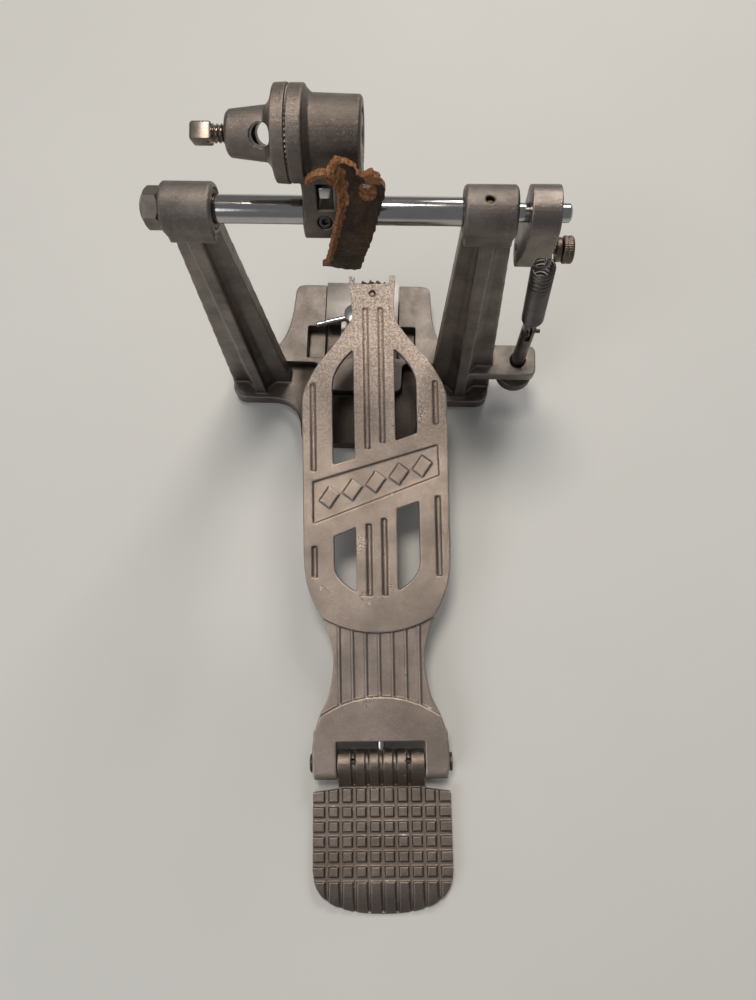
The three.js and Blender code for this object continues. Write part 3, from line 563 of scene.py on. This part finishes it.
def frame_casting(material):
    """The base, posts, bearing housings and spring lug, with soft cast fillets."""

    def posts(points):
        """Full smoothing on the posts between base and bearings, and a quarter elsewhere."""
        x, z = abs(points[:, 0]) / MM, points[:, 2] / MM
        inside = np.clip((x - 41) / 2, 0, 1) * np.clip((66 - x) / 2, 0, 1)
        return 0.25 + 0.75 * inside * np.clip((z - 10) / 8, 0, 1) * np.clip((143 - z) / 6, 0, 1)

    fillets = [post_fillets(-1), post_fillets(1)]
    cast_piece("frame_casting", "frame", material, 0.55, 26, WHOLE, 190000, fillets, ease=posts)


# ---------- the clutch ----------


def clutch_teeth(material):
    """The serrated faces that meet in the narrow gap between the hub and the cap."""
    count = 56

    def ripple(x, radius, angle):
        return radius - 0.5 * teeth_wave(angle, count) * (radius > 13)

    low, high = CLUTCH_JOINT - 0.15, CLUTCH_JOINT + 0.25
    profile = [(low, 10), (low, 13.7), (high, 13.7), (high, 10)]
    shape = turned(profile, 0, BARREL_OFFSET, 4 * count, ripple)
    made_piece("clutch_teeth", shape, HUB, "beater_shaft", material, "cast_aluminium")


def beater_screw(material):
    """A square-headed screw with a coarse thread."""
    pitch, depth, radius = 1.35, 0.6, 2.95
    start, end, step = -38.1, -29.3, 0.09
    profile = [(start + step * index, radius) for index in range(int((end - start) / step) + 1)]

    def ripple(x, r, angle):
        phase = (x / pitch - angle / (2 * math.pi)) % 1
        return r - depth * (1 - abs(2 * phase - 1)) ** 0.8

    thread = turned(profile, 0, 0, 48, ripple)
    half, corner = 2.9, 0.5
    sections = [(-44.7, 0.8), (-44.4, 0.93), (-43.9, 1), (-38.6, 1), (-38.1, 0.94), (-37.8, 0.8)]
    points = []
    for x, size in sections:
        for quarter in range(4):
            turn = Matrix.Rotation(quarter * math.pi / 2 + HEAD_TURN, 4, "X")
            for y, z in ((half - corner, half), (half, half - corner)):
                points.append(tuple(turn @ Vector((x, -y * size, z * size))))
    sides = 8
    last = (len(sections) - 1) * sides
    ends = [list(range(sides)), list(range(last, last + sides))]
    head = points, walls(len(sections), sides) + ends
    shape = turn_shape(merge(thread, head), Matrix.Translation((0, 0, BARREL_OFFSET)))
    made_piece("beater_screw_shown", shape, HUB, "beater_lock", material, "bright_steel",
               "beater_screw", sharp=30)


# ---------- the shaft and its hardware ----------


def shaft(material):
    """The shaft, stepped down to its journal on the crank's side."""
    low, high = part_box("shaft")
    left, right = low.x / MM, high.x / MM
    journal = 56.7  # where the shaft steps down
    full, narrow = 4.76, 3.175
    profile = [(left, 3.9), (left + 0.8, full), (journal - 0.3, full), (journal, 4.4)]
    profile += [(journal, narrow), (right - 0.6, narrow), (right, 2.5)]
    made_piece("shaft_shown", turned(rounded(profile, 0.3), segments=96), SHAFT_LINE,
               "beater_shaft", material, "bright_steel", "shaft")


def bearing_screw(material):
    """The domed end of the left bearing's screw, behind its lock nut."""
    profile = [(-67.9, 0.3), (-67.8, 2.0), (-67.4, 3.6), (-66.9, 4.7), (-66.6, 5.1)]
    profile += [(-66.4, 5.0), (-66.4, 4.2), (-58.3, 4.2)]
    made_piece("left_bearing_screw_shown", turned(rounded(profile, 0.3)), SHAFT_LINE,
               "frame", material, "dark_steel", "left_bearing_screw")


def lock_nut(material):
    """A hexagon nut with chamfered corners."""
    obj = linked("left_lock_nut_shown", node_mesh("left_lock_nut"))
    dome = turned([(-66.1, 6.0), (-65.3, 7.35), (-61.4, 7.35), (-60.6, 6.5)])
    combine(obj, [dome], SHAFT_LINE, "INTERSECT")
    shown(obj, "frame", material, "dark_steel", "left_lock_nut")
    obj.data.set_sharp_from_angle(angle=math.radians(25))


def knob(material):
    """The crank pin's head: a ring against the spring's eye and a flat, slightly fluted knob."""
    profile = [(63.6, 1.7), (69, 1.7), (69, 1.5), (79.6, 1.5), (79.6, 4.3), (80.1, 4.95)]
    profile += [(81.2, 4.95), (81.5, 4.7), (81.8, 4.95), (83.1, 4.95), (83.7, 4.3), (83.8, 0.4)]

    def ripple(x, radius, angle):
        return radius - (0.12 * (math.cos(36 * angle) > 0) if radius > 4.8 else 0)

    shape = turned(rounded(profile, 0.25, 3), 0, -CRANK_ARM, 144, ripple)
    made_piece("crank_pin_screw_shown", shape, SHAFT_LINE, "beater_shaft", material,
               "dark_steel", "crank_pin_screw")


# ---------- the return spring ----------

SPRING_FOOT = Vector((78, 0, 78))
SPRING_HEAD = Vector((75.2, 0, 122))
COIL_RADIUS = 4.1
WIRE_RADIUS = 0.75


def coil_path():
    """Closed turns from the foot up, then open turns below the head."""
    per_turn = 24
    closed_turns, open_turns, closed_pitch = 18, 5, 1.56
    length = (SPRING_HEAD - SPRING_FOOT).length - 2 * WIRE_RADIUS
    open_pitch = (length - closed_turns * closed_pitch) / open_turns
    along = (SPRING_HEAD - SPRING_FOOT).normalized()
    across = Vector((0, 1, 0))
    side = along.cross(across)
    path, height = [], WIRE_RADIUS
    total = (closed_turns + open_turns) * per_turn
    for step in range(total + 1):
        angle = 2 * math.pi * step / per_turn + math.pi / 2
        centre = SPRING_FOOT + along * height
        path.append(centre + (across * math.cos(angle) + side * math.sin(angle)) * COIL_RADIUS)
        height += (closed_pitch if step < closed_turns * per_turn else open_pitch) / per_turn
    return path


def smooth_path(points, steps):
    """A smooth curve through a few given points."""
    points = [Vector(point) for point in points]
    ends = [points[0] * 2 - points[1]] + points + [points[-1] * 2 - points[-2]]
    path = []
    for a, b, c, d in zip(ends, ends[1:], ends[2:], ends[3:]):
        for step in range(steps):
            t = step / steps
            bend, twist = 2 * a - 5 * b + 4 * c - d, 3 * b - a - 3 * c + d
            path.append(0.5 * ((2 * b) + (c - a) * t + bend * t * t + twist * t**3))
    return path + [points[-1]]


def spring(material):
    """The coil, which stretches between its two ends, its hook below and its eye above."""
    coil = coil_path()
    body = linked("spring_coil_shown", mesh_of(tube(coil, WIRE_RADIUS), WHOLE))
    body.data.shade_smooth()
    body.data.materials.append(material)
    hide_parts("spring_coil")
    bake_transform(body)
    hook_middle, hook_radius = HOOK_PIN_HEIGHT + 0.4, 2.1
    loop = [
        (SPRING_FOOT.x, hook_radius * math.sin(a), hook_middle - hook_radius * math.cos(a))
        for a in np.linspace(-2.6, 2.3, 12)
    ]
    tail = [tuple(coil[0]), (74.6, -0.6, 76.8), (76.2, -1.4, 73.2), (77.9, -1.6, 69.9)]
    made_piece("spring_hook_shown", tube(smooth_path(tail + loop, 6), 0.7), WHOLE,
               "spring_lower", material, "dark_steel", "spring_hook")
    eye_middle, eye_radius = 130.5, 4.35
    eye = [
        (75.2, eye_radius * math.sin(a), eye_middle - eye_radius * math.cos(a))
        for a in np.linspace(-0.9, 4.9, 22)
    ]
    lead = [tuple(coil[-1]), (72.8, -2.6, 123.4), (74.3, -3.6, 125.6)]
    made_piece("spring_eye_shown", tube(smooth_path(lead + eye, 5), WIRE_RADIUS), WHOLE,
               "spring_upper", material, "dark_steel", "spring_eye")


def tension_nut(material):
    """The knurled wheel under the lug, dished below, with its hub above."""
    profile = [(16.0, 3.2), (16.0, 6.2), (16.5, 7.2), (16.0, 8.4), (16.4, 9.1), (21.3, 9.15)]
    profile += [(22.0, 8.6), (22.3, 6.6), (26.9, 6.4), (27.7, 5.8), (27.7, 3.2)]
    teeth = 60

    def ripple(x, radius, angle):
        return radius - 0.3 * teeth_wave(angle, teeth) * (radius > 9)

    points, faces = turned(rounded(profile, 0.3, 3), 0, 0, 4 * teeth, ripple)
    low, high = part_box("tension_nut")
    middle = (low + high) / 2 / MM
    upright = [(middle.x + y, middle.y + z, x) for x, y, z in points]
    made_piece("tension_nut_shown", (upright, faces), WHOLE, "tension_wheel", material,
               "dark_steel", "tension_nut")


def clamp_bar(material):
    """The clamp screw's tommy bar, a bright rod with a narrower rounded tip."""
    profile = [(-20.4, 0.3), (-20.1, 0.9), (-19.4, 1.15), (-15.6, 1.15), (-15.2, 1.5)]
    profile += [(19.9, 1.5), (20.3, 1.1), (20.4, 0.3)]
    low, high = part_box("clamp_screw")
    spot = Vector(((low.x + high.x) / 2, (low.y + high.y) / 2, CLAMP_BAR_HEIGHT))
    place = Matrix.Translation(spot) @ Matrix.Rotation(CLAMP_BAR_TURN, 4, "Z")
    made_piece("clamp_bar_shown", turned(rounded(profile, 0.25, 3), segments=40), place,
               "hoop_screw", material, "bright_steel", "clamp_bar")


# ---------- leather ----------


def torn_outline(points, seed, rough=0.35):
    """A closed outline with its edges made ragged."""
    spacing = 0.5
    result = []
    for start, end in zip(points, points[1:] + points[:1]):
        a, b = Vector(start), Vector(end)
        count = max(1, round((b - a).length / spacing))
        across = Vector((a.y - b.y, b.x - a.x)).normalized()
        for step in range(count):
            point = a.lerp(b, step / count)
            tear = noise.noise(Vector((point.x * 0.9, point.y * 0.9, seed)))
            result.append(tuple(point + across * rough * 2 * tear))
    return result


def leather_sheet(name, outline, holes, thickness, bend, place, body, node, material):
    """A leather remnant: a flat cut sheet, meshed finely, then bent. bend(x, depth, z) gives a
    point's new place and how raw the leather is there."""
    upright = Matrix.Rotation(math.pi / 2, 4, "X")
    sheet = turn_shape(prism(outline, -thickness / 2, thickness / 2), upright)
    obj = linked(name, mesh_of(sheet, WHOLE))
    cuts = [turn_shape(prism(hole, -5, 5), upright) for hole in holes]
    combine(obj, cuts, WHOLE, "DIFFERENCE")
    remesh(obj, 0.32, WHOLE)
    relax(obj.data, 2)
    mesh = obj.data
    flat = [(vertex.co / MM, abs(vertex.normal.y)) for vertex in mesh.vertices]
    rawness, points = [], []
    for spot, facing in flat:
        x, y, z = spot
        lump = noise.noise(spot * 0.55) * 0.28
        point, edge = bend(x, y * (1 + lump), z)
        rawness.append(max(edge, 1 - min(1.0, facing * 1.25)))
        points.extend(place @ ((Vector(point) + noise.noise_vector(spot * 1.1) * 0.14) * MM))
    mesh.vertices.foreach_set("co", points)
    mesh.attributes.new("raw", "FLOAT", "POINT").data.foreach_set("value", rawness)
    mesh.update()
    shown(obj, body, material, "leather", *([node] if node else []))


def ellipse(x, y, wide, high, count=18):
    turns = [2 * math.pi * i / count for i in range(count)]
    return [(x + wide * math.cos(turn), y + high * math.sin(turn)) for turn in turns]


def strap_flap(material):
    """What is left of the strap on the hub: it hangs in front of the shaft, with its left edge
    curled forwards and a torn eyelet at its top."""
    outline = [(-1.9, 33.4), (0.2, 29.6), (1.3, 24.5), (1.1, 20.6), (0.0, 15.0), (-2.3, 6.1)]
    outline += [(-4.6, -4.7), (-6.1, -12.9), (-4.6, -13.9), (-2.0, -13.7), (0.5, -14.3)]
    outline += [(3.3, -14.2), (5.2, -14.4), (7.7, -13.2)]
    outline += [(9.8, -1.2), (12.1, 7.4), (14.6, 16.9), (16.5, 23.6), (16.4, 25.8), (15.1, 28.2)]
    outline += [(14.7, 31.2), (12.9, 33.6), (11.4, 33.2), (10.2, 30.6), (8.6, 31.6), (6.6, 33.2)]
    outline += [(4.2, 34.2), (1.6, 34.6)]
    edge_heights = [-14, -4.7, 6.1, 15, 20.6, 24.5, 30.6, 36]
    edge_places = [-6.2, -4.6, -2.3, 0.0, 1.1, 1.3, 0.2, -1.8]
    hang_heights = [-15, -6, 3, 12, 21, 26, 36]
    hang_depths = [-12.4, -14.3, -15.2, -14.2, -11.0, -8.2, -6.2]

    def bend(x, y, z):
        inside = x - float(np.interp(z, edge_heights, edge_places))
        curl = max(0.0, 1 - inside / 3.4) if z > -12 else 0.0
        depth = float(np.interp(z, hang_heights, hang_depths))
        ripple = 0.5 * math.sin(z * 0.21 + x * 0.3)
        forward = 2.6 * curl**1.5 * min(1.0, (z + 14) / 12)
        tab = max(0.0, z - 27) * 0.35 if x > 8 else 0.0
        point = (
            x + 0.9 * curl + y * -0.35 * curl,
            y + depth - forward + ripple - tab,
            z + 0.4 * curl,
        )
        strip = float(np.interp(z, [-15, -6, 10, 22, 34], [0.6, 2.2, 3.0, 3.6, 4.8]))
        torn = strip + 1.6 * noise.noise(Vector((x, 0, z)) * 0.5)
        eyelet = math.hypot(x - 11.2, z - 24.6) < 2.9 or (x > 10.4 and z > 27.5)
        return point, 0.9 * (inside < torn) + 0.75 * eyelet

    hole = ellipse(10.6, 25.2, 2.0, 1.5)
    leather_sheet("leather_strap_shown", torn_outline(outline, seed=3.1), [hole], 2.5, bend,
                  SHAFT_LINE, "beater_shaft", "leather_strap", material)


def strap_loop(material):
    """The torn end of the strap that bends over beside the screw."""
    path = [(-7.6, 23.2), (-6.4, 26.2), (-4.4, 28.9), (-2.4, 29.9), (-0.9, 27.8)]
    path += [(0.0, 24.6), (0.7, 21.0)]
    half = 0.9
    smooth = [(p.x, p.y) for p in smooth_path([(x, z, 0) for x, z in path], 4)]
    left, right = [], []
    for (x0, z0), (x1, z1) in zip(smooth, smooth[1:]):
        across = Vector((z0 - z1, x1 - x0)).normalized() * half
        left.append((x0 + across.x, z0 + across.y))
        right.append((x0 - across.x, z0 - across.y))

    def bend(x, y, z):
        return (x, y - 6.4 + 0.25 * (26 - z), z), 0.55 * (y < 0)

    outline = torn_outline(left + right[::-1], rough=0.2, seed=7.7)
    leather_sheet("leather_loop", outline, [], 2.8, bend,
                  SHAFT_LINE, "beater_shaft", None, material)


def strap_stub(material):
    """The other end of the torn strap, clamped under the toe with its ragged end showing."""
    outline = [(-7.4, 207), (7.4, 207), (7.5, 225.6), (6.2, 228.2), (4.6, 226.6), (3.0, 229.2)]
    outline += [(1.0, 227.4), (-0.8, 229.3), (-2.6, 227.2), (-4.6, 228.9), (-6.2, 226.9)]
    outline += [(-7.5, 226.0)]

    def bend(x, y, z):
        lift = max(0.0, z - 224.5) * 0.1
        return (x, z, 0.15 - y + lift), 0.7 * (z > 228)

    torn = torn_outline(outline, rough=0.45, seed=1.3)
    hole = ellipse(0, 221, 1.8, 1.8)
    leather_sheet("strap_stub_shown", torn, [hole], 2.3, bend,
                  BOARD, "board", "strap_stub", material)


# ---------- heel plate and footboard ----------


GROOVE_TOP = 1.3  # half of a heel groove's width at the tread
GROOVE_FOOT = 0.9  # half of its width at the bottom
GROOVE_DEPTH = 0.95
GRID_EDGE = -12.4  # where the grid of blocks starts, on the heel's side of the hinge
HEEL_ROWS = [GRID_EDGE - row * WAFFLE_PITCH for row in range(1, 7)]


def tread_section(middle):
    """A groove with sloping sides, cut from just above the tread."""
    flare, above = 0.4, 0.35
    bottom = PLATE_TOP - GROOVE_DEPTH
    return [
        (middle - GROOVE_TOP - flare, PLATE_TOP + above),
        (middle - GROOVE_TOP, PLATE_TOP),
        (middle - GROOVE_FOOT, bottom),
        (middle + GROOVE_FOOT, bottom),
        (middle + GROOVE_TOP, PLATE_TOP),
        (middle + GROOVE_TOP + flare, PLATE_TOP + above),
    ]


def column_groove(x):
    """A groove along the heel plate's level top."""
    points, faces = prism(tread_section(x), 11.2, 50)
    return [(across, -along, up) for across, up, along in points], faces


def nose_groove(x):
    """A groove down the heel plate's rounded nose, narrower towards the rim."""
    surface = [(-46, -2.5), (-51, -2.6), (-56, -3.3), (-61, -5.0), (-65.5, -7.4)]
    path = smooth_path([(x, y, z) for y, z in surface], 5)
    return tube([point + Vector((0, 0, 0.35)) for point in path], lambda t: 1.35 - 0.45 * t, 12)


def barrel_groove(x):
    """A groove over the hinge barrel and down its sloping face to the grid."""
    path = [(x, 6.5 * math.cos(a), 6.5 * math.sin(a)) for a in np.linspace(-0.3, 2.4, 24)]
    return tube(path + [(x, -10.7, -2.3)], 1.2, 12)


def heel_plate(material):
    """The heel plate, with its grid of blocks and the grooves over its nose and barrel."""
    rows = [along_x(tread_section(y), -40, 40) for y in HEEL_ROWS]
    columns = [x * WAFFLE_PITCH for x in range(-4, 5)]
    cuts = rows + [column_groove(x) for x in columns] + [nose_groove(x) for x in columns]
    cuts += [barrel_groove(x) for x in columns[2:7]]
    cast_piece("heel_plate", "heel", material, 0.28, 2, HINGE, 190000, cut=cuts)


# x, and where each groove starts and ends along the board
BOARD_GROOVES = (
    (-3.6, 146, 214), (3.6, 148.5, 214), (-3.6, 77, 110.5), (3.6, 77, 113),
    (-29.2, 136, 178), (-29.2, 86, 100.6), (29, 157, 178), (29, 85.7, 123),
)


def footboard(material):
    """The footboard, with its grooves opened out to a round section."""
    middle, radius = BOARD_TOP + 0.2, 1.42
    grooves = [
        tube([(x, low, middle), (x, high, middle)], radius, 16) for x, low, high in BOARD_GROOVES
    ]
    cast_piece("footboard", "board", material, 0.40, 2, BOARD, 195000, cut=grooves)


# ---------- stage ----------


def lamp(name, place, aim, size, power, colour):
    data = bpy.data.lights.new(name, "AREA")
    data.shape = "DISK"
    data.size = size
    data.energy = power
    data.color = colour
    made = bpy.data.objects.new(name, data)
    made.location = place
    made.rotation_euler = (Vector(aim) - Vector(place)).to_track_quat("-Z", "Y").to_euler()
    bpy.context.scene.collection.objects.link(made)


def make_stage():
    half = 3.0 / MM
    slab = box(-half, half, -half, half, -20, -0.05)
    floor = linked("floor", mesh_of(slab, WHOLE))
    floor.data.materials.append(floor_finish())
    lamp("key", (-0.12, 0.34, 1.5), (0, -0.05, 0.05), 0.42, 10, (1.0, 0.93, 0.83))
    lamp("back", (0.5, 1.3, 1.2), (0, 0, 0.05), 0.7, 11, (1.0, 0.96, 0.9))
    lamp("fill", (-0.9, -0.9, 1.1), (0, -0.05, 0.05), 1.0, 5, (0.93, 0.96, 1.0))
    world = bpy.data.worlds.new("world")
    world.use_nodes = True
    sky = world.node_tree.nodes["Background"].inputs
    sky["Color"].default_value = (0.80, 0.82, 0.86, 1)
    sky["Strength"].default_value = 0.26
    bpy.context.scene.world = world
    bpy.context.scene.view_settings.view_transform = "Standard"


# ---------- the pedal ----------

make_camera()
make_stage()

FRAME_METAL = cast_aluminium(
    "cast_frame", 0.155, 0.04, 0.16, 0.42, tarnish=0.8, wear_and_highlight=0.5, shadow_in_tray=True
)
HUB_METAL = cast_aluminium("cast_hub", 0.14, 0.05, 0.16, 0.42, tarnish=0.8, wear_and_highlight=0.6)
CRANK_METAL = cast_aluminium("cast_crank", 0.16, 0.04, 0.09, 0.36, tarnish=0.5, wear_and_highlight=0.6)
# The board's metal is set paler than the other castings': partly its own finish, partly a painted
# highlight over the board.
BOARD_METAL = cast_aluminium(
    "cast_board", 0.245, 0.06, 0.17, 0.33, tarnish=0.6, wear_and_highlight=0.9, toe=(-0.06, 0.03)
)
HEEL_METAL = cast_aluminium("cast_heel", 0.145, 0.06, 0.12, 0.35, tarnish=0.6, wear_and_highlight=1.0)
SHAFT_STEEL = steel("polished_shaft", 0.46, 0.01, 0.10, patina=0.15, turned_marks=0.6)
BRIGHT_STEEL = steel("bright_steel_finish", 0.50, 0.0, 0.14, patina=0.25)
JAW_METAL = cast_aluminium("jaw_metal", 0.18, 0.03, 0.10, 0.40, tarnish=0.7, wear_and_highlight=0.5)
DARK_STEEL = steel("dark_steel_finish", 0.11, 0.05, 0.36, patina=0.6)
NUT_STEEL = steel("nut_steel", 0.20, 0.04, 0.36, patina=0.6)
HEAD_STEEL = steel("head_steel", 0.30, 0.05, 0.24, patina=0.5)
SPRING_STEEL = steel("spring_steel", 0.13, 0.03, 0.28, patina=0.6)
KNOB_METAL = steel("knob_metal", 0.13, 0.07, 0.36, patina=0.6)
BRONZE = steel("bronze_finish", 0.09, 0.12, 0.42, patina=0.6)
LEATHER = leather_finish()

frame_casting(FRAME_METAL)
cast_piece("beater_hub", "beater_shaft", HUB_METAL, 0.36, 3, HUB, 120000)
cast_piece("clutch_cap", "clutch", HUB_METAL, 0.33, 3, HUB, 90000)
cast_piece("spring_crank", "beater_shaft", CRANK_METAL, 0.30, 3, SHAFT_LINE, 60000)
clutch_teeth(HUB_METAL)
beater_screw(HEAD_STEEL)
shaft(SHAFT_STEEL)
bearing_screw(NUT_STEEL)
lock_nut(NUT_STEEL)
knob(KNOB_METAL)
spring(SPRING_STEEL)
tension_nut(DARK_STEEL)
clamp_bar(BRIGHT_STEEL)
strap_flap(LEATHER)
strap_loop(LEATHER)
strap_stub(LEATHER)
heel_plate(HEEL_METAL)
footboard(BOARD_METAL)

for node, body, material, slot, edge in (
    ("left_bushing", "frame", BRONZE, "bronze", 0.15),
    ("right_bushing", "frame", BRONZE, "bronze", 0.15),
    ("jaw_pin", "frame", DARK_STEEL, "dark_steel", 0.2),
    ("swivel_screw", "frame", DARK_STEEL, "dark_steel", 0.15),
    ("hub_set_screw", "beater_shaft", DARK_STEEL, "dark_steel", 0.15),
    ("strap_screw", "beater_shaft", BRIGHT_STEEL, "bright_steel", 0.25),
    ("strap_nut", "beater_shaft", BRIGHT_STEEL, "bright_steel", 0.25),
    ("clutch_bolt", "beater_shaft", DARK_STEEL, "dark_steel", 0.2),
    ("crank_set_screw", "beater_shaft", DARK_STEEL, "dark_steel", 0.15),
    ("spring_retainer_washer", "beater_shaft", KNOB_METAL, "dark_steel", 0.15),
    ("tension_rod", "spring_anchor", DARK_STEEL, "dark_steel", 0.35),
    ("rod_cross_pin", "spring_anchor", DARK_STEEL, "dark_steel", 0.2),
    ("clamp_jaw", "hoop_jaw", JAW_METAL, "bright_steel", 0.5),
    ("clamp_screw", "hoop_screw", BRIGHT_STEEL, "bright_steel", 0.3),
    ("radius_rod", "heel", BRIGHT_STEEL, "bright_steel", 0.25),
    ("hinge_pin", "heel", DARK_STEEL, "dark_steel", 0.2),
    ("hinge_pin_nut", "heel", DARK_STEEL, "dark_steel", 0.2),
    ("strap_plate", "board", BRIGHT_STEEL, "bright_steel", 0.2),
    ("toe_screw", "board", DARK_STEEL, "dark_steel", 0.15),
):
    machined_piece(node, body, material, slot, edge)
